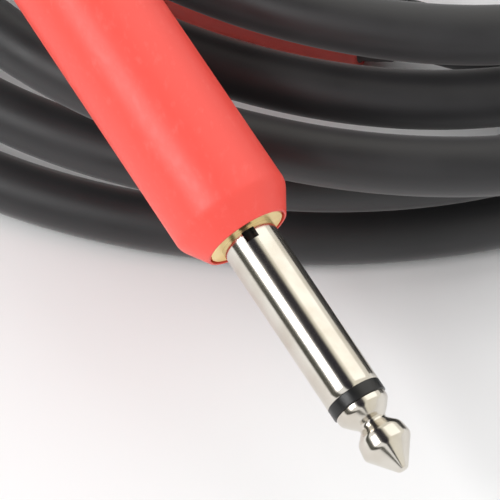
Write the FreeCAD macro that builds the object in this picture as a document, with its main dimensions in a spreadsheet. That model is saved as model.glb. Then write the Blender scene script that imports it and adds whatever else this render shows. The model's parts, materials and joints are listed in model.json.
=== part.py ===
import FreeCAD, Part
import math
import os
import Sketcher

# An instrument cable: two straight mono phone plugs, 6.35 mm in diameter, on
# one round rubber lead. The lead is wound into a loose coil that lies flat.
# The upper plug lies across the coil and the lower plug lies inside it.
# Sizes are in millimetres, +Z is up and the coil lies on the plane Z = 0.
os.makedirs("parts", exist_ok=True)
doc = FreeCAD.newDocument("InstrumentCable")
Vector = FreeCAD.Vector

# Driving sizes
sheet = doc.addObject("Spreadsheet::Sheet", "Sizes")
SIZES = [
    ("plug_diameter", 6.35),
    ("shaft_reach", 20.8),
    ("shaft_bore", 4.2),
    ("spigot_diameter", 5.8),
    ("ring_width", 1.35),
    ("tip_length", 8.35),
    ("tip_shoulder_diameter", 6.0),
    ("tip_cheek_diameter", 4.5),
    ("tip_neck_diameter", 2.9),
    ("tip_ball_diameter", 5.3),
    ("tip_widest_diameter", 5.8),
    ("tip_end_diameter", 1.1),
    ("rod_diameter", 2.4),
    ("rod_rivet_length", 0.5),
    ("window_length", 1.2),
    ("window_width", 1.5),
    ("window_setback", 0.2),
    ("collar_diameter", 9.1),
    ("collar_length", 8.0),
    ("collar_edge", 0.15),
    ("thread_clearance", 0.05),
    ("thread_pitch", 0.75),
    ("thread_turns", 5.0),
    ("lug_thickness", 0.6),
    ("lug_disc_diameter", 8.2),
    ("lug_bore", 5.0),
    ("lug_tail_width", 4.0),
    ("lug_tail_end", 30.0),
    ("crimp_length", 4.0),
    ("crimp_wall", 0.55),
    ("crimp_clearance", 0.05),
    ("crimp_opening", 3.6),
    ("washer_thickness", 1.2),
    ("washer_diameter", 5.8),
    ("tag_thickness", 0.6),
    ("tag_diameter", 4.6),
    ("tag_width", 2.4),
    ("tag_length", 5.0),
    ("core_diameter", 2.0),
    ("pigtail_diameter", 1.2),
    ("strip_back", 21.0),
    ("solder_diameter", 2.8),
    ("solder_film", 0.1),
    ("liner_wall", 0.4),
    ("liner_front_gap", 0.7),
    ("liner_back_gap", 1.7),
    ("barrel_neck", 8.6),
    ("barrel_setback", 0.9),
    ("barrel_diameter", 11.2),
    ("barrel_wall", 0.5),
    ("barrel_length", 36.0),
    ("grip_diameter", 13.6),
    ("grip_overhang", 1.0),
    ("lip_forward", 0.1),
    ("lip_diameter", 9.8),
    ("lip_clearance", 0.1),
    ("lip_taper", 3.1),
    ("grip_rear_round", 0.8),
    ("grip_front_round", 1.0),
    ("tip_shoulder_round", 0.7),
    ("tip_neck_round", 0.5),
    ("tip_ball_round", 0.9),
    ("tip_end_round", 0.3),
    ("relief_round", 0.5),
    ("relief_insert", 3.0),
    ("relief_tail", 4.0),
    ("relief_tail_diameter", 10.8),
    ("relief_end_diameter", 8.8),
    ("cable_diameter", 6.8),
    ("relief_clearance", 0.35),
    ("cable_straight", 5.0),
    ("upper_tilt", 14.4),
    ("upper_heading", -56.4),
    ("upper_mouth_x", -1.6),
    ("upper_mouth_y", -8.1),
    ("upper_mouth_z", 24.2),
    ("lower_heading", 160.0),
    ("lower_mouth_x", -22.4),
    ("lower_mouth_y", 50.0),
    ("coil_half_width", 49.7),
    ("coil_width_step", 15.5),
    ("coil_width_drop", 3.8),
    ("coil_half_depth", 37.9),
    ("coil_depth_step", 9.5),
    ("coil_depth_drop", 1.6),
    ("coil_skew", 0.063),
    ("coil_layer_gap", 0.5),
    ("coil_flat", 0.5),
    ("coil_start_turn", 0.75),
    ("coil_end_turn", 5.75),
    ("coil_layer_turns", 1.5),
    ("coil_centre_x", 4.3),
    ("coil_centre_y", 56.9),
    ("layer_a_right", 1.4),
    ("layer_b_right", 5.1),
    ("layer_c_right", 3.7),
    ("layer_a_back", -4.0),
    ("layer_b_back", 0.6),
    ("layer_c_back", 6.7),
]
for row, (alias, value) in enumerate(SIZES, start=1):
    sheet.set("A" + str(row), alias)
    sheet.set("B" + str(row), str(value))
    sheet.setAlias("B" + str(row), alias)
doc.recompute()


def size(alias):
    """Value of one driving size."""
    return float(sheet.get(alias))


def bound(text):
    """The same text with every alias written as a cell of the sheet."""
    words = text.replace("(", " ( ").replace(")", " ) ").split()
    named = dict(SIZES)
    return " ".join("Sizes." + word if word in named else word for word in words)


def value_of(text):
    """Number that a bound text stands for, worked out by the document."""
    return float(sheet.evalExpression(bound(text).replace("Sizes.", "")))


# Places along the plug, counted from the collar's face towards the tip
RING_FRONT = "( shaft_reach + ring_width )"
TIP_END = "( shaft_reach + ring_width + tip_length )"
COLLAR_BACK = "( -1 * collar_length )"
LUG_BACK = "( -1 * collar_length - lug_thickness )"
WASHER_BACK = "( -1 * collar_length - lug_thickness - washer_thickness )"
TAG_BACK = "( -1 * collar_length - lug_thickness - washer_thickness - tag_thickness )"
ROD_BACK = (
    "( 0 - collar_length - lug_thickness - washer_thickness - tag_thickness - rod_rivet_length )"
)
BARREL_FRONT = "( -1 * barrel_setback )"
NECK_BACK = "( -1 * barrel_setback - barrel_neck )"
BARREL_BACK = "( -1 * barrel_setback - barrel_length )"
GRIP_BACK = "( -1 * barrel_setback - barrel_length - grip_overhang )"
RELIEF_BACK = "( -1 * barrel_setback - barrel_length - grip_overhang - relief_tail )"
CABLE_EXIT = (
    "( -1 * barrel_setback - barrel_length - grip_overhang - relief_tail - cable_straight )"
)

# Radii that mating pieces share
SHAFT_R = "( plug_diameter / 2 )"
SPIGOT_R = "( spigot_diameter / 2 )"
BORE_R = "( shaft_bore / 2 )"
ROD_R = "( rod_diameter / 2 )"
COLLAR_R = "( collar_diameter / 2 )"
NECK_R = "( collar_diameter / 2 + thread_clearance )"
BARREL_R = "( barrel_diameter / 2 )"
MOUTH_R = "( ( barrel_diameter + collar_diameter ) / 4 + thread_clearance / 2 )"
BARREL_BORE_R = "( barrel_diameter / 2 - barrel_wall )"
LINER_R = "( barrel_diameter / 2 - barrel_wall - thread_clearance )"
LINER_BORE_R = "( barrel_diameter / 2 - barrel_wall - thread_clearance - liner_wall )"
LIP_BORE_R = "( collar_diameter / 2 + lip_clearance )"
GRIP_R = "( grip_diameter / 2 )"
CABLE_R = "( cable_diameter / 2 )"
CABLE_SLIDE_R = "( cable_diameter / 2 + relief_clearance )"
CRIMP_R = "( cable_diameter / 2 + crimp_clearance )"
CRIMP_OUT_R = "( cable_diameter / 2 + crimp_clearance + crimp_wall )"

pieces = []


def keep(piece, label):
    """Enter a finished sub-part in the list that is checked and written."""
    piece.Label = label
    pieces.append(piece)
    return piece


def turned(name, outline):
    """A turned body: a closed outline of places and radii, revolved about X."""
    body = doc.addObject("PartDesign::Body", name)
    sketch = body.newObject("Sketcher::SketchObject", name + "_outline")
    planes = [f for f in body.Origin.OriginFeatures if f.Role == "XZ_Plane"]
    sketch.AttachmentSupport = (planes[0], [""])
    sketch.MapMode = "FlatFace"
    corners = [Vector(value_of(x), value_of(r), 0) for x, r in outline]
    count = len(corners)
    for i in range(count):
        sketch.addGeometry(Part.LineSegment(corners[i], corners[(i + 1) % count]), False)
    for i in range(count):
        sketch.addConstraint(Sketcher.Constraint("Coincident", i, 2, (i + 1) % count, 1))
    for i, (x, r) in enumerate(outline):
        for kind, number, text in (("DistanceX", corners[i].x, x), ("DistanceY", corners[i].y, r)):
            index = sketch.addConstraint(Sketcher.Constraint(kind, -1, 1, i, 1, number))
            sketch.setExpression("Constraints[" + str(index) + "]", bound(text))
    turn = body.newObject("PartDesign::Revolution", name + "_turned")
    turn.Profile = sketch
    turn.ReferenceAxis = (sketch, ["H_Axis"])
    turn.Angle = 360
    body.Tip = turn
    doc.recompute()
    return body


def rounded(body, name, places, radius):
    """Round the circular edges that lie at the given places and radii."""
    base = body.Tip
    wanted = [(value_of(x), value_of(r)) for x, r in places]
    edges = []
    for number, edge in enumerate(base.Shape.Edges, start=1):
        if not isinstance(edge.Curve, Part.Circle):
            continue
        for x, r in wanted:
            if abs(edge.Curve.Center.x - x) < 1e-4 and abs(edge.Curve.Radius - r) < 1e-4:
                edges.append("Edge" + str(number))
    fillet = body.newObject("PartDesign::Fillet", name)
    fillet.Base = (base, edges)
    fillet.Radius = radius
    body.Tip = fillet
    doc.recompute()
    return body


def rod(name, radius, back, front, height="0"):
    """A plain cylinder along X between two places, its axis raised along Z."""
    bar = doc.addObject("Part::Cylinder", name)
    bar.Placement = FreeCAD.Placement(Vector(), FreeCAD.Rotation(Vector(0, 1, 0), 90))
    bar.setExpression("Radius", bound(radius))
    bar.setExpression("Height", bound(front + " - " + back))
    bar.setExpression(".Placement.Base.x", bound(back))
    bar.setExpression(".Placement.Base.z", bound(height))
    return bar


def block(name, back, front, width, low, high):
    """A plain block between two places and two heights, centred across Y."""
    box = doc.addObject("Part::Box", name)
    box.setExpression("Length", bound(front + " - " + back))
    box.setExpression("Width", bound(width))
    box.setExpression("Height", bound(high + " - " + low))
    box.setExpression(".Placement.Base.x", bound(back))
    box.setExpression(".Placement.Base.y", bound("-1 * " + width + " / 2"))
    box.setExpression(".Placement.Base.z", bound(low))
    return box


def cut(name, base, tool):
    """The base with the tool taken away."""
    result = doc.addObject("Part::Cut", name)
    result.Base = base
    result.Tool = tool
    return result


def fuse(name, shapes):
    """Several touching solids joined to one."""
    result = doc.addObject("Part::MultiFuse", name)
    result.Shapes = shapes
    result.Refine = True
    return result


def held(name, piece):
    """One plain solid in a holder, which gives it a placement of its own."""
    holder = doc.addObject("Part::Compound", name + "_holder")
    holder.Links = [piece]
    return keep(holder, name)


def tip_contact(plug):
    """Ball tip with its groove, and the rod that runs back through the shaft."""
    shoulder_x = "( shaft_reach + ring_width + tip_length * 0.09 )"
    cheek_x = "( shaft_reach + ring_width + tip_length * 0.2 )"
    neck_x = "( shaft_reach + ring_width + tip_length * 0.29 )"
    ball_x = "( shaft_reach + ring_width + tip_length * 0.44 )"
    widest_x = "( shaft_reach + ring_width + tip_length * 0.63 )"
    outline = [
        (ROD_BACK, "0"),
        (ROD_BACK, ROD_R),
        (RING_FRONT, ROD_R),
        (RING_FRONT, "tip_shoulder_diameter / 2"),
        (shoulder_x, "tip_shoulder_diameter / 2"),
        (cheek_x, "tip_cheek_diameter / 2"),
        (neck_x, "tip_neck_diameter / 2"),
        (ball_x, "tip_ball_diameter / 2"),
        (widest_x, "tip_widest_diameter / 2"),
        (TIP_END, "tip_end_diameter / 2"),
        (TIP_END, "0"),
    ]
    body = turned(plug + "_tip_contact", outline)
    shoulder = [(shoulder_x, "tip_shoulder_diameter / 2"), (cheek_x, "tip_cheek_diameter / 2")]
    neck = [(neck_x, "tip_neck_diameter / 2")]
    ball = [(ball_x, "tip_ball_diameter / 2"), (widest_x, "tip_widest_diameter / 2")]
    rounded(body, plug + "_tip_shoulder_round", shoulder, size("tip_shoulder_round"))
    rounded(body, plug + "_tip_neck_round", neck, size("tip_neck_round"))
    rounded(body, plug + "_tip_ball_round", ball, size("tip_ball_round"))
    end = [(TIP_END, "tip_end_diameter / 2")]
    return keep(rounded(body, plug + "_tip_end_round", end, size("tip_end_round")), body.Name)


def tip_insulator(plug):
    """Black ring between tip and shaft, and the tube that lines the shaft."""
    outline = [
        (COLLAR_BACK, ROD_R),
        (COLLAR_BACK, BORE_R),
        ("shaft_reach", BORE_R),
        ("shaft_reach", SHAFT_R),
        (RING_FRONT, SHAFT_R),
        (RING_FRONT, ROD_R),
    ]
    return keep(turned(plug + "_tip_insulator", outline), plug + "_tip_insulator")


def shaft(plug):
    """Hollow shaft with a window by the collar, and a thinner spigot held in the collar."""
    bar = rod(plug + "_shaft_bar", SHAFT_R, "0", "shaft_reach")
    spigot = rod(plug + "_shaft_spigot", SPIGOT_R, COLLAR_BACK, "0")
    outer = fuse(plug + "_shaft_blank", [bar, spigot])
    bore = rod(plug + "_shaft_hole", BORE_R, COLLAR_BACK, "shaft_reach")
    tube = cut(plug + "_shaft_tube", outer, bore)
    window = block(
        plug + "_shaft_window", "window_setback", "( window_setback + window_length )",
        "window_width", BORE_R, "plug_diameter",
    )
    return keep(cut(plug + "_shaft_cut", tube, window), plug + "_shaft")


def collar(plug):
    """Brass collar on the shaft: its outside is the thread for the barrel."""
    outline = [
        (COLLAR_BACK, SPIGOT_R),
        (COLLAR_BACK, COLLAR_R),
        ("0 - collar_edge", COLLAR_R),
        ("0", COLLAR_R + " - collar_edge"),
        ("0", SPIGOT_R),
    ]
    return keep(turned(plug + "_collar", outline), plug + "_collar")


def ground_lug(plug):
    """Ring behind the collar with a tail that is crimped round the cable."""
    tail_top = "( -1 * " + CRIMP_R + " )"
    tail_low = "( -1 * " + CRIMP_OUT_R + " )"
    tail_end = "( -1 * lug_tail_end )"
    disc = rod(plug + "_lug_disc", "lug_disc_diameter / 2", LUG_BACK, COLLAR_BACK)
    tail = block(plug + "_lug_tail", tail_end, COLLAR_BACK, "lug_tail_width", tail_low, tail_top)
    crimp_front = "( -1 * lug_tail_end + crimp_length )"
    band = rod(plug + "_lug_band", CRIMP_OUT_R, tail_end, crimp_front)
    whole = fuse(plug + "_lug_blank", [disc, tail, band])
    hole = rod(plug + "_lug_hole", "lug_bore / 2", LUG_BACK, COLLAR_BACK)
    nest = rod(plug + "_lug_nest", CRIMP_R, tail_end, crimp_front)
    mouth = block(plug + "_lug_mouth", tail_end, crimp_front, "crimp_opening", "0", "cable_diameter")
    holes = fuse(plug + "_lug_holes", [hole, nest, mouth])
    return keep(cut(plug + "_lug_cut", whole, holes), plug + "_ground_lug")


def rear_washer(plug):
    """Fibre washer that keeps the tip's tag off the ground lug."""
    disc = rod(plug + "_washer_disc", "washer_diameter / 2", WASHER_BACK, LUG_BACK)
    hole = rod(plug + "_washer_hole", ROD_R, WASHER_BACK, LUG_BACK)
    return keep(cut(plug + "_washer_cut", disc, hole), plug + "_rear_washer")


CORE_Z = "( core_diameter * 0.3 )"
TAG_LOW = "( core_diameter * 0.8 + solder_film )"
TAG_HIGH = "( core_diameter * 0.8 + solder_film + tag_thickness )"
TAG_TAIL = "( -1 * collar_length - lug_thickness - washer_thickness - tag_length )"
PIGTAIL_Z = "( -1 * " + CRIMP_R + " + pigtail_diameter / 2 + solder_film )"
SHIELD_DROP_Z = "( -1 * " + CRIMP_R + " + pigtail_diameter * 0.75 )"
JACKET_END = "( -1 * strip_back )"


def tip_tag(plug):
    """Tag riveted on the rod's end, to which the core is soldered."""
    disc = rod(plug + "_tag_disc", "tag_diameter / 2", TAG_BACK, WASHER_BACK)
    tail = block(plug + "_tag_tail", TAG_TAIL, WASHER_BACK, "tag_width", TAG_LOW, TAG_HIGH)
    blank = fuse(plug + "_tag_blank", [disc, tail])
    hole = rod(plug + "_tag_hole", ROD_R, TAG_BACK, WASHER_BACK)
    keep(cut(plug + "_tag_cut", blank, hole), plug + "_tip_tag")
    return blank


def core_wire(plug):
    """Insulated core of the cable, from the jacket's end to the tag."""
    front = "( " + TAG_TAIL + " + tag_length / 2 )"
    core = rod(plug + "_core", "core_diameter / 2", JACKET_END, front, CORE_Z)
    held(plug + "_core_wire", core)
    return core


def shield_pigtail(plug):
    """Twisted shield, from the jacket's end to the ground lug's tail."""
    front = "( -1 * strip_back + tag_length )"
    pigtail = rod(plug + "_pigtail", "pigtail_diameter / 2", JACKET_END, front, PIGTAIL_Z)
    held(plug + "_shield_pigtail", pigtail)
    return pigtail


def solder(plug, name, place, height, neighbours):
    """A drop of solder that leaves out the pieces it has flowed round."""
    drop = doc.addObject("Part::Sphere", plug + "_" + name + "_ball")
    drop.setExpression("Radius", bound("solder_diameter / 2"))
    drop.setExpression(".Placement.Base.x", bound(place))
    drop.setExpression(".Placement.Base.z", bound(height))
    shape = drop
    for number, other in enumerate(neighbours):
        shape = cut(plug + "_" + name + "_cut" + str(number), shape, other)
    return keep(shape, plug + "_" + name)


def cable_end(plug):
    """Stripped end of the cable, straight through the barrel and out of it."""
    return held(plug + "_cable_end", rod(plug + "_cable_bar", CABLE_R, CABLE_EXIT, JACKET_END))


def liner_tube(plug):
    """Insulating tube between the soldered joints and the barrel."""
    front = "( -1 * barrel_setback - barrel_neck - liner_front_gap )"
    back = "( relief_insert + liner_back_gap - barrel_setback - barrel_length )"
    outer = rod(plug + "_liner_bar", LINER_R, back, front)
    inner = rod(plug + "_liner_hole", LINER_BORE_R, back, front)
    return keep(cut(plug + "_liner_cut", outer, inner), plug + "_liner_tube")


def barrel(plug):
    """Metal barrel: a threaded neck over the collar and a wider bore behind."""
    outline = [
        (BARREL_BACK, BARREL_BORE_R),
        (BARREL_BACK, BARREL_R),
        (BARREL_FRONT + " - lip_taper", BARREL_R),
        (BARREL_FRONT, MOUTH_R),
        (BARREL_FRONT, NECK_R),
        (NECK_BACK, NECK_R),
        (NECK_BACK, BARREL_BORE_R),
    ]
    return keep(turned(plug + "_barrel", outline), plug + "_barrel")


def grip_sleeve(plug):
    """Red sleeve over the barrel, drawn in to a thin lip at the mouth."""
    outline = [
        (GRIP_BACK, BARREL_R),
        (GRIP_BACK, GRIP_R),
        ("lip_forward - lip_taper", GRIP_R),
        ("lip_forward", "lip_diameter / 2"),
        ("lip_forward", LIP_BORE_R),
        (BARREL_FRONT, LIP_BORE_R),
        (BARREL_FRONT, MOUTH_R),
        (BARREL_FRONT + " - lip_taper", BARREL_R),
    ]
    body = turned(plug + "_grip_sleeve", outline)
    front = [("lip_forward - lip_taper", GRIP_R)]
    rounded(body, plug + "_grip_front_round", front, size("grip_front_round"))
    wall = value_of(GRIP_R) - value_of(BARREL_R)
    rear = min(size("grip_rear_round"), 0.7 * wall)
    return keep(rounded(body, plug + "_grip_rear_round", [(GRIP_BACK, GRIP_R)], rear), body.Name)


def relief_bush(plug):
    """Bush in the barrel's rear end that keeps the cable off its edge."""
    outline = [
        (RELIEF_BACK, CABLE_SLIDE_R),
        (RELIEF_BACK, "relief_end_diameter / 2"),
        (GRIP_BACK, "relief_tail_diameter / 2"),
        (GRIP_BACK, BARREL_R),
        (BARREL_BACK, BARREL_R),
        (BARREL_BACK, BARREL_BORE_R),
        (BARREL_BACK + " + relief_insert", BARREL_BORE_R),
        (BARREL_BACK + " + relief_insert", CABLE_SLIDE_R),
    ]
    body = turned(plug + "_relief_bush", outline)
    end = [(RELIEF_BACK, "relief_end_diameter / 2")]
    return keep(rounded(body, plug + "_relief_round", end, size("relief_round")), body.Name)


def make_plug(plug):
    """All the pieces of one plug, along X from the collar's face."""
    first = len(pieces)
    tip_contact(plug)
    tip_insulator(plug)
    shaft(plug)
    collar(plug)
    ground_lug(plug)
    rear_washer(plug)
    tag = tip_tag(plug)
    core = core_wire(plug)
    pigtail = shield_pigtail(plug)
    tail = doc.getObject(plug + "_lug_tail")
    solder(plug, "core_solder", TAG_TAIL + " + tag_length / 4", TAG_LOW, [tag, core])
    solder(plug, "shield_solder", "( -1 * strip_back + tag_length )", SHIELD_DROP_Z, [tail, pigtail])
    cable_end(plug)
    liner_tube(plug)
    barrel(plug)
    grip_sleeve(plug)
    relief_bush(plug)
    return pieces[first:]


upper_pieces = make_plug("upper")
lower_pieces = make_plug("lower")
doc.recompute()


def plug_rotation(heading, tilt, roll):
    """Turn the plug's X towards a heading, then down by a tilt, rolled about itself."""
    yaw = FreeCAD.Rotation(Vector(0, 0, 1), heading)
    pitch = FreeCAD.Rotation(Vector(0, 1, 0), tilt)
    spin = FreeCAD.Rotation(Vector(1, 0, 0), roll)
    return yaw.multiply(pitch).multiply(spin)


# Places of the two plugs in the coil's frame
UPPER_ROLL = 12.0
LOWER_ROLL = 35.0
upper_place = FreeCAD.Placement(
    Vector(size("upper_mouth_x"), size("upper_mouth_y"), size("upper_mouth_z")),
    plug_rotation(size("upper_heading"), size("upper_tilt"), UPPER_ROLL),
)
lower_place = FreeCAD.Placement(
    Vector(size("lower_mouth_x"), size("lower_mouth_y"), size("grip_diameter") / 2),
    plug_rotation(size("lower_heading"), 0.0, LOWER_ROLL),
)


def in_coil_frame(place, back):
    """Point on a plug's axis, and the way that the cable leaves there."""
    point = place.multVec(Vector(back, 0, 0))
    way = place.Rotation.multVec(Vector(-1, 0, 0))
    return point, way


# The coil: an oval spiral that goes out and in again at a steady rate and climbs a
# layer where it reverses. Each layer lies a little to the right of the one below,
# and a little narrower, as loops do that were dropped by hand.
LAYER_RISE = size("cable_diameter") + size("coil_layer_gap")
COIL_LOW_Z = size("cable_diameter") / 2 - size("coil_flat")
CLIMB_TURNS = 0.5
LAYER_TURNS = size("coil_layer_turns")


def smooth_step(share):
    """Rise from 0 to 1 that starts and ends level."""
    share = min(max(share, 0.0), 1.0)
    return 0.5 - 0.5 * math.cos(math.pi * share)


def climb_shares(turn):
    """Share of each of the three climbs that the wire has made. Their sum is its layer."""
    climbs = [LAYER_TURNS * (i + 1) for i in range(3)]
    return [smooth_step((turn - c) / CLIMB_TURNS + 0.5) for c in climbs]


def spread_at(turn):
    """Turns that the spiral has gone out, up and down with rounded reversals."""
    phase = turn % (2 * LAYER_TURNS)
    half = CLIMB_TURNS / 2
    if abs(phase - LAYER_TURNS) < half:
        return LAYER_TURNS - half / 2 - (phase - LAYER_TURNS) ** 2 / (2 * half)
    low = min(phase, 2 * LAYER_TURNS - phase)
    if low < half and half < turn < 4 * LAYER_TURNS - half:
        return half / 2 + low ** 2 / (2 * half)
    return LAYER_TURNS - abs(phase - LAYER_TURNS)


def coil_point(turn):
    """Centre of the wire at a turn, counted from the left-hand side."""
    angle = math.pi + 2 * math.pi * turn
    shares = climb_shares(turn)
    layer = sum(shares)
    wide = size("coil_half_width") - size("coil_width_drop") * layer
    wide += size("coil_width_step") * spread_at(turn)
    deep = size("coil_half_depth") - size("coil_depth_drop") * layer
    deep += size("coil_depth_step") * spread_at(turn)
    x = size("coil_centre_x") + wide * math.cos(angle)
    y = size("coil_centre_y") + deep * math.sin(angle)
    y -= size("coil_skew") * layer * wide * math.cos(angle)
    for number, share in enumerate(shares, start=1):
        x += share * size("layer_" + "abc"[number - 1] + "_right")
        y += share * size("layer_" + "abc"[number - 1] + "_back")
    return Vector(x, y, COIL_LOW_Z + LAYER_RISE * layer)


def coil_heading(turn):
    """Direction of the wire at a turn."""
    step = 1e-4
    way = coil_point(turn + step) - coil_point(turn - step)
    return way.normalize()


def arc_between(start, corner, end):
    """Arc from start to end whose tangents meet at the corner."""
    chord_middle = (start + end) * 0.5
    rise = corner - chord_middle
    if rise.Length < 1e-6:
        return Part.LineSegment(start, end)
    reach = (corner - start).Length
    half_chord = (end - start).Length / 2
    sag = half_chord * (reach - half_chord) / rise.Length
    middle = chord_middle + rise.normalize() * sag
    return Part.Arc(start, middle, end)


def biarc(start, start_way, end, end_way):
    """Two tangent arcs between two points with given directions."""
    across = end - start
    both = start_way + end_way
    a = 2 * (start_way.dot(end_way) - 1)
    b = across.dot(both)
    reach = (b - math.sqrt(b * b - a * across.dot(across))) / a
    first = start + start_way * reach
    second = end - end_way * reach
    joint = (first + second) * 0.5
    return [arc_between(start, first, joint), arc_between(joint, second, end)]


def sweep(edges, radius, start, way):
    """One unbroken round tube along tangent edges."""
    path = Part.Wire([edge.toShape() for edge in edges])
    ring = Part.Wire([Part.Circle(start, way, radius).toShape()])
    return path.makePipeShell([ring], True, False), path.Length


def flattened(tube):
    """The tube, cut flat where it lies on the surface."""
    box = tube.BoundBox
    margin = size("cable_diameter")
    corner = Vector(box.XMin - margin, box.YMin - margin, -margin)
    wide = box.XLength + 2 * margin
    deep = box.YLength + 2 * margin
    return tube.cut(Part.makeBox(wide, deep, margin, corner))


def cable_coil():
    """The coiled cable, cut flat where it lies on the surface."""
    first = size("coil_start_turn")
    last = size("coil_end_turn")
    turns = [first + 0.25 * i for i in range(int(round((last - first) / 0.25)) + 1)]
    edges = []
    for begin, end in zip(turns, turns[1:]):
        edges += biarc(coil_point(begin), coil_heading(begin), coil_point(end), coil_heading(end))
    start_end = coil_point(first) - coil_heading(first) * size("cable_diameter")
    stop_end = coil_point(last)
    edges.insert(0, Part.LineSegment(start_end, coil_point(first)))
    tube, length = sweep(edges, size("cable_diameter") / 2, start_end, coil_heading(first))
    wire = doc.addObject("Part::Feature", "cable_coil")
    wire.Shape = flattened(tube)
    return keep(wire, "cable_coil"), length, start_end, stop_end


coil, coil_length, coil_start, coil_stop = cable_coil()


def coil_gap():
    """Least gap between the coil's turns, measured on points of its centre line."""
    first = size("coil_start_turn")
    last = size("coil_end_turn")
    per_turn = 120
    count = int((last - first) * per_turn)
    points = [coil_point(first + i / per_turn) for i in range(count + 1)]
    least = min(
        (points[i] - points[j]).Length
        for i in range(count + 1)
        for j in range(i + per_turn // 2, count + 1)
    )
    return least - size("cable_diameter")


def lead(label, points):
    """A free stretch of cable: straight runs joined by tangent arcs."""
    runs = [(b - a).Length for a, b in zip(points, points[1:])]
    edges = []
    radii = []
    at = points[0]
    for i in range(1, len(points) - 1):
        back = (points[i - 1] - points[i]).normalize()
        ahead = (points[i + 1] - points[i]).normalize()
        half_turn = (math.pi - back.getAngle(ahead)) / 2
        reach = 0.45 * min(runs[i - 1], runs[i])
        radii.append(round(reach / math.tan(half_turn), 1))
        begin = points[i] + back * reach
        end = points[i] + ahead * reach
        edges.append(Part.LineSegment(at, begin))
        edges.append(arc_between(begin, points[i], end))
        at = end
    edges.append(Part.LineSegment(at, points[-1]))
    way = (points[1] - points[0]).normalize()
    tube, length = sweep(edges, size("cable_diameter") / 2, points[0], way)
    section = math.pi * size("cable_diameter") ** 2 / 4
    wire = doc.addObject("Part::Feature", label)
    wire.Shape = flattened(tube) if tube.BoundBox.ZMin < 0 else tube
    print(label, "runs", [round(r, 1) for r in runs], "radii", radii)
    print(label, "length", round(length, 1), "volume share", round(tube.Volume / (section * length), 4))
    return keep(wire, label), length


# Routes of the two leads, from the coil's ends to the plugs. A lead leaves the
# coil and enters its plug straight, for the lengths of these first and last runs.
UPPER_COIL_RUN = 14.0
UPPER_PLUG_RUN = 17.0
LOWER_COIL_RUN = 15.0
LOWER_PLUG_RUN = 14.3
exit_back = value_of(CABLE_EXIT)
upper_exit, upper_way = in_coil_frame(upper_place, exit_back)
lower_exit, lower_way = in_coil_frame(lower_place, exit_back)
upper_route = [
    coil_stop,
    coil_stop + coil_heading(size("coil_end_turn")) * UPPER_COIL_RUN,
    Vector(-18.6, 91.9, 26.5),
    Vector(-32.7, 78.2, 32),
    Vector(-40.8, 61.2, 39),
    upper_exit + upper_way * UPPER_PLUG_RUN,
    upper_exit,
]
lower_route = [
    coil_start,
    coil_start - coil_heading(size("coil_start_turn")) * LOWER_COIL_RUN,
    Vector(45.9, 86.8, COIL_LOW_Z),
    Vector(60.2, 68, COIL_LOW_Z),
    Vector(62, 48, COIL_LOW_Z),
    Vector(52.6, 32.8, COIL_LOW_Z + 0.1),
    lower_exit + lower_way * LOWER_PLUG_RUN,
    lower_exit,
]
upper_lead, upper_length = lead("upper_lead", upper_route)
lower_lead, lower_length = lead("lower_lead", lower_route)

# The model's origin: under the middle of the two plugs, on the surface
for piece in upper_pieces:
    piece.Placement = upper_place
for piece in lower_pieces:
    piece.Placement = lower_place
doc.recompute()
plugs_box = FreeCAD.BoundBox()
for piece in upper_pieces + lower_pieces:
    plugs_box.add(piece.Shape.optimalBoundingBox(False))
to_origin = Vector(-plugs_box.Center.x, -plugs_box.Center.y, 0)
for piece in pieces:
    piece.Placement = FreeCAD.Placement(to_origin, FreeCAD.Rotation()).multiply(piece.Placement)
doc.recompute()

print("coil length", round(coil_length, 1), "least gap", round(coil_gap(), 2))
in_plugs = 2 * (exit_back + size("strip_back"))
print("whole cable", round(coil_length + upper_length + lower_length - in_plugs, 1))
print("origin shift", [round(v, 3) for v in to_origin])
for name, route in (("upper", upper_route), ("lower", lower_route)):
    print(name, "route", [[round(v, 2) for v in point + to_origin] for point in route])

for item in doc.Objects:
    if "Invalid" in item.State or "Error" in item.State:
        raise RuntimeError("failed: " + item.Name)
for piece in pieces:
    if piece.Shape.isNull() or not piece.Shape.isValid():
        raise RuntimeError("no valid shape: " + piece.Label)
for piece in pieces:
    piece.Shape.exportStep("parts/" + piece.Label + ".step")
print(len(pieces), "sub-parts written")
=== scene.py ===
# %% [markdown]
# An instrument cable, dressed for its picture. The real object is a round rubber lead
# about two metres long with a straight 6.35 mm phone plug on each end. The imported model
# gives every piece its size and place. This file gives the visible pieces their finish, and
# replaces the plain solids of the lead by one smooth curve.

import json
import math

import bmesh
import bpy
import numpy as np
from mathutils import Matrix, Vector


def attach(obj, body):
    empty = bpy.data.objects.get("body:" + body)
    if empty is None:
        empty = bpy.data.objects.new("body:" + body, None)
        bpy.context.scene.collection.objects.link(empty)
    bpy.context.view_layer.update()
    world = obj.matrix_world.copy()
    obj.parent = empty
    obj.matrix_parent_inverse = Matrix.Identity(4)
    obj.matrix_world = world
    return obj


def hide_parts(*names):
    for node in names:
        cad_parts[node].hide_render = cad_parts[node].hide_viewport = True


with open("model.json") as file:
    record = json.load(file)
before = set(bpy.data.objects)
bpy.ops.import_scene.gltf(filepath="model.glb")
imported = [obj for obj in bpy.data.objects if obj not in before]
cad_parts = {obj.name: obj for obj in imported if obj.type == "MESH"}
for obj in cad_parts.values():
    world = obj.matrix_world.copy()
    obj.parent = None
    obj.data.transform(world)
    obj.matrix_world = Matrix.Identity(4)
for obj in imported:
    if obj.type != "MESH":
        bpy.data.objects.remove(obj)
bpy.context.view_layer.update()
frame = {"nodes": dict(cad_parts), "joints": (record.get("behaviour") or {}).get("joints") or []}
MM = 0.001
scene = bpy.context.scene
scene.view_settings.view_transform = "Standard"

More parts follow.
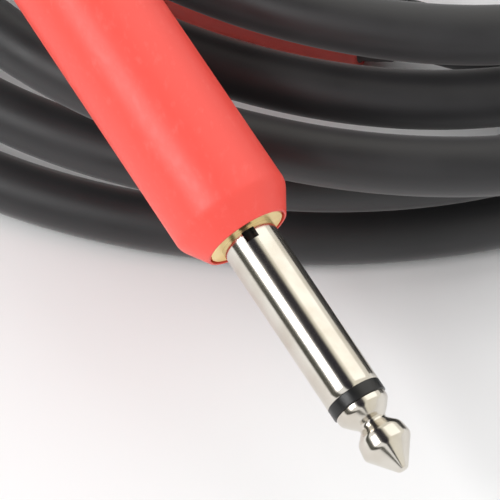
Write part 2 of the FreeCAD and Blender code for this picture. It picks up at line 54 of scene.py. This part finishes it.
# %% [markdown]
# The camera stands where the photographer's did: above the front of the coil, looking down
# at 54 degrees. A long lens keeps the turns nearly parallel. It is worked out from the scale
# of the photo, about nine pixels to a millimetre, and from one point of the coil's frame
# whose pixel is known.

# %% Camera
PHOTO_SIDE = 500
CAMERA_ELEVATION = math.radians(54)
CAMERA_DISTANCE = 365 * MM
PIXELS_PER_MM = 9.15
SENSOR = 36.0
ORIGIN_SHIFT = Vector((14.191, -14.513, 0.0)) * MM
KNOWN_POINT = Vector((0, 0, 20)) * MM + ORIGIN_SHIFT
KNOWN_PIXEL = (262, 200)


def add_camera():
    """Camera whose centre ray meets the plane through the known point."""
    up = Vector((0, math.sin(CAMERA_ELEVATION), math.cos(CAMERA_ELEVATION)))
    back = Vector((0, -math.cos(CAMERA_ELEVATION), math.sin(CAMERA_ELEVATION)))
    right = (PHOTO_SIDE / 2 - KNOWN_PIXEL[0]) / PIXELS_PER_MM * MM
    down = (PHOTO_SIDE / 2 - KNOWN_PIXEL[1]) / PIXELS_PER_MM * MM
    aim = KNOWN_POINT + Vector((right, 0, 0)) - up * down
    data = bpy.data.cameras.new("camera")
    data.sensor_width = SENSOR
    data.lens = SENSOR * PIXELS_PER_MM * (CAMERA_DISTANCE / MM) / PHOTO_SIDE
    data.clip_start = 0.01
    camera = bpy.data.objects.new("camera", data)
    camera.location = aim + back * CAMERA_DISTANCE
    camera.rotation_euler = (math.pi / 2 - CAMERA_ELEVATION, 0, 0)
    scene.collection.objects.link(camera)
    scene.camera = camera
    return data.lens


print("lens", round(add_camera(), 1), "mm")

# %% [markdown]
# The lead is a flexible cord of fixed length. Its coil follows the same rule as the coil in
# the model: an oval spiral goes out and in again at a steady rate and climbs a layer where it
# reverses, and each layer lies a little to the right of the one below. One open NURBS curve
# carries the whole cord, from the upper plug round the coil to the lower plug, so nothing
# shows a joint. Its radius is set on its points, with a bevel of 1, because Blender's box
# round a curve grows by the points' radius, and the side views are framed by that box.

# %% Route of the cord
CABLE_DIAMETER = 6.8
FLOOR_HEIGHT = CABLE_DIAMETER / 2
TOP_HEIGHT = 24.8
LAYER_TURNS = 1.5
CLIMB_TURNS = 0.5
COIL_START, COIL_END = 0.75, 5.75
COIL_CENTRE = (4.3, 56.9)
HALF_WIDTH, WIDTH_STEP, WIDTH_DROP = 49.7, 15.5, 3.8
HALF_DEPTH, DEPTH_STEP, DEPTH_DROP = 37.9, 9.5, 1.6
SKEW = 0.063
LAYER_SHIFTS = ((1.4, -4.0), (5.1, 0.6), (3.7, 6.7))
POINTS_PER_TURN = 36


def smooth_step(share):
    """Half a cosine wave: from 0 to 1, level at both ends."""
    return 0.5 - 0.5 * np.cos(np.pi * np.clip(share, 0, 1))


def spread_at(turn):
    """Turns that the spiral has gone out, up and down with rounded reversals."""
    phase = turn % (2 * LAYER_TURNS)
    half = CLIMB_TURNS / 2
    plain = LAYER_TURNS - np.abs(phase - LAYER_TURNS)
    outer = LAYER_TURNS - half / 2 - (phase - LAYER_TURNS) ** 2 / (2 * half)
    inner = half / 2 + plain**2 / (2 * half)
    spread = np.where(np.abs(phase - LAYER_TURNS) < half, outer, plain)
    reverses_inside = (plain < half) & (turn > half) & (turn < 4 * LAYER_TURNS - half)
    return np.where(reverses_inside, inner, spread)


def coil_points(turn):
    """Oval (wide cos a, deep sin a) that grows and shrinks, on a centre that each climb shifts."""
    climbs = [
        smooth_step((turn - LAYER_TURNS * (i + 1)) / CLIMB_TURNS + 0.5) for i in range(3)
    ]
    layer = sum(climbs)
    angle = np.pi + 2 * np.pi * turn
    wide = HALF_WIDTH - WIDTH_DROP * layer + WIDTH_STEP * spread_at(turn)
    deep = HALF_DEPTH - DEPTH_DROP * layer + DEPTH_STEP * spread_at(turn)
    x = COIL_CENTRE[0] + wide * np.cos(angle)
    y = COIL_CENTRE[1] + deep * np.sin(angle) - SKEW * layer * wide * np.cos(angle)
    x = x + sum(climb * shift[0] for climb, shift in zip(climbs, LAYER_SHIFTS))
    y = y + sum(climb * shift[1] for climb, shift in zip(climbs, LAYER_SHIFTS))
    z = FLOOR_HEIGHT + (TOP_HEIGHT - FLOOR_HEIGHT) * layer / 3
    return np.stack((x, y, z), axis=1)


# %% [markdown]
# The free stretches between the coil and the plugs have few points, listed one by one. A
# quadratic NURBS stays inside the corners of its control points, which is how a springy
# rubber lead rounds them.

# %% Free stretches
UPPER_ROUTE = [
    (0.66, 97.8, 24.8),
    (-18.6, 91.9, 26.5),
    (-32.7, 78.2, 32),
    (-40.8, 61.2, 39),
]
LOWER_ROUTE = [
    (11.1, 101.75, 3.4),
    (26.1, 101.4, 3.4),
    (45.9, 86.8, 3.4),
    (60.2, 68, 3.4),
    (62, 48, 3.4),
    (52.6, 32.8, 3.5),
]
UPPER_STRAIGHT, LOWER_STRAIGHT = 17.0, 14.3
EXIT_BACK = 46.9


WINDOW_ROLL = {"upper": 12.0, "lower": 35.0}


def plug_place(plug):
    """Matrix from a plug's own frame, X along the plug from the collar's face, to the row frame."""
    joint = next(j for j in frame["joints"] if j["name"] == plug + "_barrel_unscrew")
    ahead = -Vector(joint["axis"])
    heading = math.atan2(ahead.y, ahead.x)
    tilt = -math.asin(ahead.z)
    turn = (
        Matrix.Rotation(heading, 4, "Z")
        @ Matrix.Rotation(tilt, 4, "Y")
        @ Matrix.Rotation(math.radians(WINDOW_ROLL[plug]), 4, "X")
    )
    return Matrix.Translation(Vector(joint["pos_m"])) @ turn


PLACES = {plug: plug_place(plug) for plug in ("upper", "lower")}


def plug_point(plug, back):
    """Point on a plug's axis, in metres in the row frame, at a distance behind its collar."""
    return PLACES[plug] @ Vector((-back * MM, 0, 0))


def add_cord():
    """One open quadratic NURBS from the upper plug round the coil to the lower plug."""
    shift = np.array(ORIGIN_SHIFT)
    turns = np.linspace(COIL_END, COIL_START, int((COIL_END - COIL_START) * POINTS_PER_TURN) + 1)
    stretches = [
        [plug_point("upper", EXIT_BACK), plug_point("upper", EXIT_BACK + UPPER_STRAIGHT)],
        np.array(UPPER_ROUTE[::-1]) * MM + shift,
        coil_points(turns) * MM + shift,
        np.array(LOWER_ROUTE) * MM + shift,
        [plug_point("lower", EXIT_BACK + LOWER_STRAIGHT), plug_point("lower", EXIT_BACK)],
    ]
    points = np.concatenate([np.array(s, float).reshape(-1, 3) for s in stretches])
    curve = bpy.data.curves.new("cable", "CURVE")
    curve.dimensions = "3D"
    curve.bevel_depth = 1.0
    curve.bevel_resolution = 10
    curve.resolution_u = 6
    curve.use_fill_caps = True
    spline = curve.splines.new("NURBS")
    spline.points.add(len(points) - 1)
    weights = np.ones((len(points), 1))
    spline.points.foreach_set("co", np.hstack((points, weights)).ravel())
    spline.points.foreach_set("radius", np.full(len(points), CABLE_DIAMETER / 2 * MM))
    spline.order_u = 3
    spline.use_endpoint_u = True
    spline.use_smooth = True
    cord = bpy.data.objects.new("cable", curve)
    scene.collection.objects.link(cord)
    return cord


cord = add_cord()
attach(cord, "root")
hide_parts("cable_coil", "upper_lead", "lower_lead")

# %% [markdown]
# Nearly every piece of a phone plug is turned on a lathe, so one function makes them all: it
# takes an outline of places and radii, rounds the corners that are asked for, and carries
# the outline round the axis. The UV map holds millimetres round and along the piece, so
# that turning marks and moulding grain can follow the surface.

# %% Lathe
SIDES = 128
CORNER_STEPS = 6


def rounded_outline(corners):
    """Outline with quadratic curves for corners, which leave and meet the sides a reach away."""
    places = np.array([c[:2] for c in corners], float)
    rows = []
    for i, corner in enumerate(corners):
        reach = corner[2]
        before, here, after = places[i - 1], places[i], places[(i + 1) % len(places)]
        if reach == 0:
            rows.append(here[None, :])
            continue
        start = here + (before - here) / np.linalg.norm(before - here) * reach
        end = here + (after - here) / np.linalg.norm(after - here) * reach
        t = np.linspace(0, 1, CORNER_STEPS)[:, None]
        rows.append((1 - t) ** 2 * start + 2 * t * (1 - t) * here + t**2 * end)
    return np.concatenate(rows)


def mesh_object(name, verts, faces, uvs=None, sharp=40):
    """Mesh piece with smooth faces, sharp only where faces meet at more than an angle."""
    mesh = bpy.data.meshes.new(name)
    mesh.from_pydata(verts.tolist(), [], faces.tolist())
    if uvs is not None:
        layer = mesh.uv_layers.new(name="surface")
        layer.data.foreach_set("uv", uvs.ravel())
    tool = bmesh.new()
    tool.from_mesh(mesh)
    bmesh.ops.remove_doubles(tool, verts=tool.verts, dist=1e-7)
    bmesh.ops.dissolve_degenerate(tool, edges=tool.edges, dist=1e-7)
    bmesh.ops.recalc_face_normals(tool, faces=tool.faces)
    tool.to_mesh(mesh)
    tool.free()
    mesh.polygons.foreach_set("use_smooth", np.ones(len(mesh.polygons), bool))
    mesh.set_sharp_from_angle(angle=math.radians(sharp))
    piece = bpy.data.objects.new(name, mesh)
    scene.collection.objects.link(piece)
    return piece


def ring_faces(rings, sides):
    """Quads between neighbouring rings of a closed outline, as corner numbers."""
    i, j = np.meshgrid(np.arange(rings), np.arange(sides), indexing="ij")
    below, right = (i + 1) % rings, (j + 1) % sides
    quads = np.stack((i * sides + j, i * sides + right, below * sides + right, below * sides + j), -1)
    return quads.reshape(-1, 4), i, j


def turned(name, plug, corners, closed=True):
    """Surface (x, r cos a, r sin a) of an outline (x, r), placed on its plug."""
    outline = rounded_outline(corners)
    angle = np.linspace(0, 2 * np.pi, SIDES, endpoint=False)
    x = np.repeat(outline[:, :1], SIDES, axis=1)
    verts = np.stack((x, outline[:, 1:] * np.cos(angle), outline[:, 1:] * np.sin(angle)), -1)
    quads, i, j = ring_faces(len(outline), SIDES)
    if not closed:
        keep = i.ravel() < len(outline) - 1
        quads, i, j = quads[keep], i.ravel()[keep], j.ravel()[keep]
    radius = outline[:, 1].max()
    along = np.concatenate(([0], np.cumsum(np.linalg.norm(np.diff(outline, axis=0), axis=1))))
    i, j = i.ravel(), j.ravel()
    ends = np.append(along, along[-1])
    step = 2 * np.pi * radius / SIDES
    uvs = np.stack((
        np.stack((j * step, ends[i]), -1),
        np.stack(((j + 1) * step, ends[i]), -1),
        np.stack(((j + 1) * step, ends[i + 1]), -1),
        np.stack((j * step, ends[i + 1]), -1),
    ), axis=1)
    world = np.array(PLACES[plug])
    flat = verts.reshape(-1, 3) * MM @ world[:3, :3].T + world[:3, 3]
    return mesh_object(name, flat, quads, uvs)


# %% [markdown]
# The looks are procedural. One function turns the hex colour of a swatch to linear light,
# and one function adds a node with its settings and links.

# %% Colour and node helpers
def linear(code):
    """Linear red, green, blue and alpha of an sRGB hex colour."""
    parts = [int(code[i:i + 2], 16) / 255 for i in (1, 3, 5)]
    return [c / 12.92 if c <= 0.04045 else ((c + 0.055) / 1.055) ** 2.4 for c in parts] + [1]


def add(material, kind, settings=None, **inputs):
    """A node with its settings; each input is a value, or a socket to link from."""
    tree = material.node_tree
    node = tree.nodes.new(kind)
    for key, value in (settings or {}).items():
        setattr(node, key, value)
    for key, value in inputs.items():
        socket = node.inputs[int(key[1:])] if key[0] == "_" else node.inputs[key.replace("_", " ")]
        if isinstance(value, bpy.types.NodeSocket):
            tree.links.new(value, socket)
        else:
            socket.default_value = value
    return node


def ramp(material, source, stops):
    """Colour ramp from a source, with (place, linear colour) stops."""
    node = add(material, "ShaderNodeValToRGB", Fac=source)
    elements = node.color_ramp.elements
    elements[0].position, elements[0].color = stops[0]
    elements[1].position, elements[1].color = stops[-1]
    for place, colour in stops[1:-1]:
        elements.new(place).color = colour
    return node.outputs["Color"]


def blank(name):
    """New material with only its shader and its output."""
    material = bpy.data.materials.new(name)
    material.use_nodes = True
    shader = material.node_tree.nodes["Principled BSDF"]
    return material, shader


def wire_up(material, shader, **sockets):
    """Link sockets to the shader's inputs by name."""
    for key, source in sockets.items():
        material.node_tree.links.new(source, shader.inputs[key.replace("_", " ")])


# %% [markdown]
# Extruded rubber jacket: matt, almost black, with a faint bloom and very fine grain. The
# grain of the real one is about 0.1 mm, drawn at 0.35 mm so that it shows at all.

# %% Rubber
GRAIN_MM = 0.35
BLOOM_MM = 9.0


def rubber(name, dark, light, rough):
    """Matt rubber: two shades mixed by a broad bloom, and a fine grain in the bump."""
    material, shader = blank(name)
    place = add(material, "ShaderNodeTexCoord").outputs["Object"]
    bloom = add(material, "ShaderNodeTexNoise", Vector=place, Scale=1 / (BLOOM_MM * MM), Detail=4.0)
    grain = add(material, "ShaderNodeTexNoise", Vector=place, Scale=1 / (GRAIN_MM * MM), Detail=3.0)
    colour = ramp(material, bloom.outputs["Fac"], [(0.3, linear(dark)), (0.75, linear(light))])
    gloss = add(
        material, "ShaderNodeMapRange", Value=bloom.outputs["Fac"],
        From_Min=0.3, From_Max=0.7, To_Min=rough - 0.06, To_Max=rough + 0.06,
    )
    bump = add(
        material, "ShaderNodeBump", Height=grain.outputs["Fac"], Strength=0.25, Distance=0.04 * MM
    )
    wire_up(
        material, shader, Base_Color=colour, Roughness=gloss.outputs["Result"],
        Normal=bump.outputs["Normal"],
    )
    shader.inputs["Specular IOR Level"].default_value = 0.5
    shader.inputs["Sheen Weight"].default_value = 0.25
    shader.inputs["Sheen Roughness"].default_value = 0.5
    return material


CABLE_RUBBER = rubber("extruded_rubber", "#19191B", "#252527", 0.5)
BUSH_RUBBER = rubber("moulded_rubber", "#161617", "#202021", 0.6)
cord.data.materials.append(CABLE_RUBBER)

# %% [markdown]
# Nickel plate over turned brass: a slightly warm mirror, broken by hair-fine turning marks
# that run round the piece. Brass is the same surface unplated, so one function makes both.

# %% Turned metals
MARK_MM = 0.06
SMEAR_MM = 4.0


def turned_metal(name, code, dull, rough, marks):
    """Metal whose marks are noise drawn out a hundred times round the piece."""
    material, shader = blank(name)
    surface = add(material, "ShaderNodeUVMap", {"uv_map": "surface"}).outputs["UV"]
    stretched = add(material, "ShaderNodeMapping", Vector=surface, Scale=(0.02, 1.0, 1.0))
    lines = add(
        material, "ShaderNodeTexNoise", Vector=stretched.outputs["Vector"],
        Scale=1 / MARK_MM, Detail=2.0,
    )
    place = add(material, "ShaderNodeTexCoord").outputs["Object"]
    smear = add(material, "ShaderNodeTexNoise", Vector=place, Scale=1 / (SMEAR_MM * MM), Detail=5.0)
    colour = ramp(material, smear.outputs["Fac"], [(0.35, linear(dull)), (0.6, linear(code))])
    gloss = add(
        material, "ShaderNodeMapRange", Value=smear.outputs["Fac"],
        From_Min=0.3, From_Max=0.7, To_Min=rough + 0.05, To_Max=rough,
    )
    bump = add(
        material, "ShaderNodeBump", Height=lines.outputs["Fac"], Strength=marks, Distance=0.01 * MM
    )
    wire_up(
        material, shader, Base_Color=colour, Roughness=gloss.outputs["Result"],
        Normal=bump.outputs["Normal"],
    )
    shader.inputs["Metallic"].default_value = 1.0
    return material


NICKEL = turned_metal("nickel_plated_brass", "#DAD5CC", "#CFC8BD", 0.13, 0.12)
BRASS = turned_metal("turned_brass", "#FFE7A4", "#F3D183", 0.28, 0.15)

# %% [markdown]
# Moulded plastics. The red sleeve is a soft-touch plastic with a satin skin: a fine spark-
# eroded grain from the mould, and a few light scuffs from handling.

# %% Plastics
SKIN_MM = 0.28
SCUFF_MM = 5.0


def moulded(name, code, worn, rough, grain_depth):
    """Plastic with mould grain in the bump and scuffs that lighten and dull it."""
    material, shader = blank(name)
    place = add(material, "ShaderNodeTexCoord").outputs["Object"]
    skin = add(material, "ShaderNodeTexNoise", Vector=place, Scale=1 / (SKIN_MM * MM), Detail=2.0)
    drawn = add(
        material, "ShaderNodeMapping", Vector=place, Rotation=(0.3, 0.2, 0.9), Scale=(1.0, 0.5, 1.0)
    )
    scuff = add(
        material, "ShaderNodeTexNoise", Vector=drawn.outputs["Vector"],
        Scale=6 / (SCUFF_MM * MM), Detail=6.0, Roughness=0.6,
    )
    colour = ramp(material, scuff.outputs["Fac"], [(0.55, linear(code)), (0.9, linear(worn))])
    gloss = add(
        material, "ShaderNodeMapRange", Value=scuff.outputs["Fac"],
        From_Min=0.4, From_Max=0.8, To_Min=rough, To_Max=rough + 0.15,
    )
    bump = add(
        material, "ShaderNodeBump", Height=skin.outputs["Fac"], Strength=grain_depth,
        Distance=0.03 * MM,
    )
    wire_up(
        material, shader, Base_Color=colour, Roughness=gloss.outputs["Result"],
        Normal=bump.outputs["Normal"],
    )
    return material


RED_GRIP = moulded("red_soft_plastic", "#F65348", "#FA6A60", 0.38, 0.18)
BLACK_PLASTIC = moulded("black_acetal", "#101011", "#1C1C1D", 0.3, 0.1)
LINER_PLASTIC = moulded("dark_nylon", "#1E1E22", "#2C2C30", 0.35, 0.1)
FIBRE = moulded("vulcanised_fibre", "#6B2F1C", "#84452E", 0.6, 0.4)
CORE_PLASTIC = moulded("polythene", "#E8E6DE", "#D9D5C8", 0.4, 0.1)
SOLDER = moulded("dull_solder", "#9A9C9E", "#B4B6B8", 0.35, 0.3)
SOLDER.node_tree.nodes["Principled BSDF"].inputs["Metallic"].default_value = 1.0
COPPER = moulded("bare_copper", "#C9744A", "#B5653D", 0.3, 0.3)
COPPER.node_tree.nodes["Principled BSDF"].inputs["Metallic"].default_value = 1.0
STEEL = moulded("turned_steel", "#A6A6A4", "#BBBBB8", 0.3, 0.2)
STEEL.node_tree.nodes["Principled BSDF"].inputs["Metallic"].default_value = 1.0

# %% [markdown]
# The plug's outside. Each outline is the real piece's section, from the back towards the
# tip, in millimetres from the collar's face. A third number is how far a corner's rounding
# reaches. Inner faces stand a hundredth off the hidden piece they cover.

# %% Outlines
SHAFT_RADIUS = 3.175
SPIGOT_RADIUS = 2.9
SHAFT_FRONT = 20.8
RING_FRONT = 22.15
TIP_END = 30.5
GRIP_OUTLINE = [
    (-37.9, 5.62, 0), (-37.9, 6.8, 0.8), (-3.0, 6.8, 0.6), (0.1, 4.9, 0.12), (0.1, 4.66, 0.06),
    (-0.9, 4.66, 0), (-0.9, 5.12, 0), (-4.0, 5.62, 0),
]
TIP_OUTLINE = [
    (-10.9, 0.0, 0), (-10.9, 1.19, 0.1), (RING_FRONT, 1.19, 0), (RING_FRONT, 3.0, 0.1),
    (22.9, 3.0, 0.3), (23.82, 2.25, 0.3), (24.57, 1.45, 0.45), (25.82, 2.65, 0.4),
    (27.41, 2.9, 0.4), (TIP_END, 0.55, 0.25), (TIP_END, 0.0, 0),
]
RING_OUTLINE = [
    (-8.0, 1.21, 0), (-8.0, 2.09, 0), (SHAFT_FRONT, 2.09, 0), (SHAFT_FRONT, SHAFT_RADIUS, 0.06),
    (RING_FRONT, SHAFT_RADIUS, 0.1), (RING_FRONT, 1.21, 0),
]
COLLAR_OUTLINE = [
    (-8.0, 2.91, 0), (-8.0, 4.55, 0.1), (-0.15, 4.55, 0.05), (0.0, 4.4, 0.05), (0.0, 2.91, 0),
]
BUSH_OUTLINE = [
    (-41.9, 3.75, 0.1), (-41.9, 4.4, 0.4), (-37.9, 5.4, 0.15), (-37.9, 5.58, 0), (-36.9, 5.58, 0),
    (-36.9, 5.08, 0), (-33.9, 5.08, 0), (-33.9, 3.75, 0),
]
JACKET_OUTLINE = [(-46.9, 0.0, 0), (-46.9, 3.4, 0), (-21.0, 3.4, 0.1), (-21.0, 0.0, 0)]

TURNED_PIECES = [
    ("grip_sleeve", GRIP_OUTLINE, True, RED_GRIP, "grip_red"),
    ("tip_contact", TIP_OUTLINE, False, NICKEL, "nickel_plate"),
    ("tip_insulator", RING_OUTLINE, True, BLACK_PLASTIC, "black_insulator"),
    ("collar", COLLAR_OUTLINE, True, BRASS, "collar_brass"),
    ("relief_bush", BUSH_OUTLINE, True, BUSH_RUBBER, "bush_rubber"),
    ("cable_end", JACKET_OUTLINE, False, CABLE_RUBBER, "cable_rubber"),
]


def finish_piece(piece, plug, part, material):
    """Material, body and replaced node of a dressed piece."""
    piece.data.materials.append(material)
    node = plug + "_" + part
    moves = part in ("grip_sleeve", "relief_bush")
    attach(piece, plug + "_barrel_turn" if moves else "root")
    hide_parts(node)


for plug in PLACES:
    for part, outline, closed, material, slot in TURNED_PIECES:
        piece = turned(plug + "_" + part + "_dressed", plug, outline, closed)
        finish_piece(piece, plug, part, material)
print("turned pieces", 2 * len(TURNED_PIECES))

# %% [markdown]
# The shaft is a tube with a small rectangular window next to the collar. Its outer and
# inner walls share one grid of places and angles whose lines fall on the window's edges.
# The cells of the window are left out of both walls, and four short walls join them there.

# %% Shaft with its window
BORE_RADIUS = 2.1
WINDOW = (0.2, 1.4)
WINDOW_WIDTH = 1.5
WINDOW_CELLS = 6


def shaft_grid():
    """Places along the shaft, angles round it, and which cells the window takes."""
    half = math.asin(WINDOW_WIDTH / 2 / SHAFT_RADIUS)
    inside = np.linspace(-half, half, WINDOW_CELLS + 1)
    rest = np.linspace(half, 2 * np.pi - half, SIDES - WINDOW_CELLS + 1)[1:-1]
    angles = np.concatenate((inside, rest)) + np.pi / 2
    places = np.concatenate((
        [-8.0, -0.01, 0.0], np.linspace(*WINDOW, 4), np.linspace(4, 20, 9),
        [SHAFT_FRONT - 0.12, SHAFT_FRONT],
    ))
    start = int(np.searchsorted(places, WINDOW[0]))
    cell = np.zeros((len(places) - 1, len(angles)), bool)
    cell[start:start + 3, :WINDOW_CELLS] = True
    return places, angles, cell


def add_shaft(plug):
    """Outer wall, inner wall turned the other way, end rings, and the window's four walls."""
    places, angles, cell = shaft_grid()
    rows, sides = len(places), len(angles)
    outer_radius = np.where(places == SHAFT_FRONT, SHAFT_RADIUS - 0.1, SHAFT_RADIUS)
    outer_radius = np.where(places < 0, SPIGOT_RADIUS, outer_radius)[:, None]
    walls = []
    for radius in (outer_radius, np.full((rows, 1), BORE_RADIUS + 0.01)):
        x = np.repeat(places[:, None], sides, axis=1)
        walls.append(np.stack((x, radius * np.cos(angles), radius * np.sin(angles)), -1))
    verts = np.concatenate([w.reshape(-1, 3) for w in walls])
    i, j = np.nonzero(~cell)
    k = (j + 1) % sides
    outer = np.stack((i * sides + j, i * sides + k, (i + 1) * sides + k, (i + 1) * sides + j), -1)
    inner = outer[:, ::-1] + rows * sides
    ring = np.arange(sides)
    after = (ring + 1) % sides
    ends = []
    for row in (0, rows - 1):
        a, b = row * sides + ring, row * sides + after
        ends.append(np.stack((a, b, b + rows * sides, a + rows * sides), -1))
    first = int(np.nonzero(cell)[0].min())
    last = int(np.nonzero(cell)[0].max()) + 1
    across = np.arange(WINDOW_CELLS)
    along = np.arange(first, last)
    sills = []
    for row in (first, last):
        a, b = row * sides + across, row * sides + across + 1
        sills.append(np.stack((a, b, b + rows * sides, a + rows * sides), -1))
    for column in (0, WINDOW_CELLS):
        a, b = along * sides + column, (along + 1) * sides + column
        sills.append(np.stack((a, b, b + rows * sides, a + rows * sides), -1))
    faces = np.concatenate([outer, inner] + ends + sills)
    radius_here = np.linalg.norm(verts[:, 1:], axis=1)
    turn = np.arctan2(verts[:, 2], verts[:, 1])
    uv_of = np.stack((turn * radius_here, verts[:, 0]), -1)
    world = np.array(PLACES[plug])
    flat = verts * MM @ world[:3, :3].T + world[:3, 3]
    piece = mesh_object(plug + "_shaft_dressed", flat, faces, uv_of[faces])
    finish_piece(piece, plug, "shaft", NICKEL)


for plug in PLACES:
    add_shaft(plug)

# %% [markdown]
# The pieces inside the barrels keep the shapes of the model. They show only when a barrel
# is unscrewed, and get the finish of what they are made of.

# %% Inside pieces
INSIDE = {
    "ground_lug": STEEL, "rear_washer": FIBRE, "tip_tag": STEEL, "core_wire": CORE_PLASTIC,
    "shield_pigtail": COPPER, "core_solder": SOLDER, "shield_solder": SOLDER,
    "liner_tube": LINER_PLASTIC, "barrel": STEEL,
}
for plug in PLACES:
    for part, material in INSIDE.items():
        node = frame["nodes"][plug + "_" + part]
        node.data.materials.clear()
        node.data.materials.append(material)

# %% [markdown]
# A plain white floor and soft light. The floor is a wide sheet a hair under the coil. The key
# light is a soft box on the left with a bar across its middle, made as two long lamps, so
# that the polished shaft shows two white lines. A wide soft lamp hangs behind on the right.

# %% Floor and lamps
FLOOR_GAP = 0.02 * MM


def add_floor():
    """White sheet, a hair under the part, that keeps the part's shadow."""
    half = 6.0
    corners = np.array([(-half, -half), (half, -half), (half, half), (-half, half)])
    verts = np.hstack((corners, np.full((4, 1), -FLOOR_GAP)))
    mesh = bpy.data.meshes.new("floor")
    mesh.from_pydata(verts.tolist(), [], [(0, 1, 2, 3)])
    floor = bpy.data.objects.new("floor", mesh)
    scene.collection.objects.link(floor)
    material, shader = blank("white_sheet")
    shader.inputs["Base Color"].default_value = linear("#F7F7F7")
    shader.inputs["Roughness"].default_value = 0.9
    shader.inputs["Specular IOR Level"].default_value = 0.1
    floor.data.materials.append(material)


def add_lamp(name, place, long, wide, power):
    """Soft lamp, its long side level, that looks at the part."""
    aim = (0, 0, 0.01)
    data = bpy.data.lights.new(name, "AREA")
    data.shape = "RECTANGLE"
    data.size = long
    data.size_y = wide
    data.energy = power
    lamp = bpy.data.objects.new(name, data)
    lamp.location = Vector(place)
    lamp.rotation_euler = (Vector(aim) - Vector(place)).to_track_quat("-Z", "Y").to_euler()
    scene.collection.objects.link(lamp)


add_floor()
add_lamp("key_low", (-0.66, -0.32, 0.53), 0.45, 0.14, 1.5)
add_lamp("key_high", (-0.54, -0.26, 0.68), 0.45, 0.14, 1.5)
add_lamp("back", (0.44, 0.38, 0.73), 0.9, 0.9, 1.6)

# %% [markdown]
# Polished metal shows what stands round it more than it shows itself. The photo's shaft has
# a dark line on its left and another down its middle, then a cream one. So the pale world
# has two long dark cards in line with the upper plug, one low on its left and one overhead.
# Only glossy rays see the cards, so the plain light on everything stays even.

# %% World
CARD_STOPS = [
    (0.0, "#F4F4F2"), (0.012, "#4A4A44"), (0.12, "#55554E"), (0.15, "#FFFFFF"), (0.31, "#FFFFFF"),
    (0.335, "#24222A"), (0.49, "#2C2A32"), (0.54, "#F6F2E4"), (1.0, "#F4F2EC"),
]
PLAIN_LEVEL = 0.8
GLOSSY_LEVEL = 1.05


def add_world():
    """Ramp over the angle round the upper plug's level axis, from its left up and over."""
    world = bpy.data.worlds.new("pale_studio")
    world.use_nodes = True
    ahead = PLACES["upper"].to_3x3() @ Vector((1, 0, 0))
    left = ahead.cross(Vector((0, 0, 1))).normalized()
    way = add(world, "ShaderNodeTexCoord").outputs["Generated"]
    across = add(world, "ShaderNodeVectorMath", {"operation": "DOT_PRODUCT"}, _0=way, _1=left)
    height = add(world, "ShaderNodeSeparateXYZ", Vector=way)
    angle = add(
        world, "ShaderNodeMath", {"operation": "ARCTAN2"},
        _0=height.outputs["Z"], _1=across.outputs["Value"],
    )
    share = add(world, "ShaderNodeMapRange", Value=angle.outputs["Value"], From_Max=math.pi)
    cards = ramp(world, share.outputs["Result"], [(at, linear(code)) for at, code in CARD_STOPS])
    rays = add(world, "ShaderNodeLightPath").outputs["Is Glossy Ray"]
    shown = add(
        world, "ShaderNodeMix", {"data_type": "RGBA"}, _0=rays, _6=linear("#FFFFFF"), _7=cards
    )
    level = add(
        world, "ShaderNodeMapRange", Value=rays, To_Min=PLAIN_LEVEL, To_Max=GLOSSY_LEVEL
    )
    background = world.node_tree.nodes["Background"]
    world.node_tree.links.new(shown.outputs[2], background.inputs["Color"])
    world.node_tree.links.new(level.outputs["Result"], background.inputs["Strength"])
    scene.world = world


add_world()
print("cards", len(CARD_STOPS), "stops")
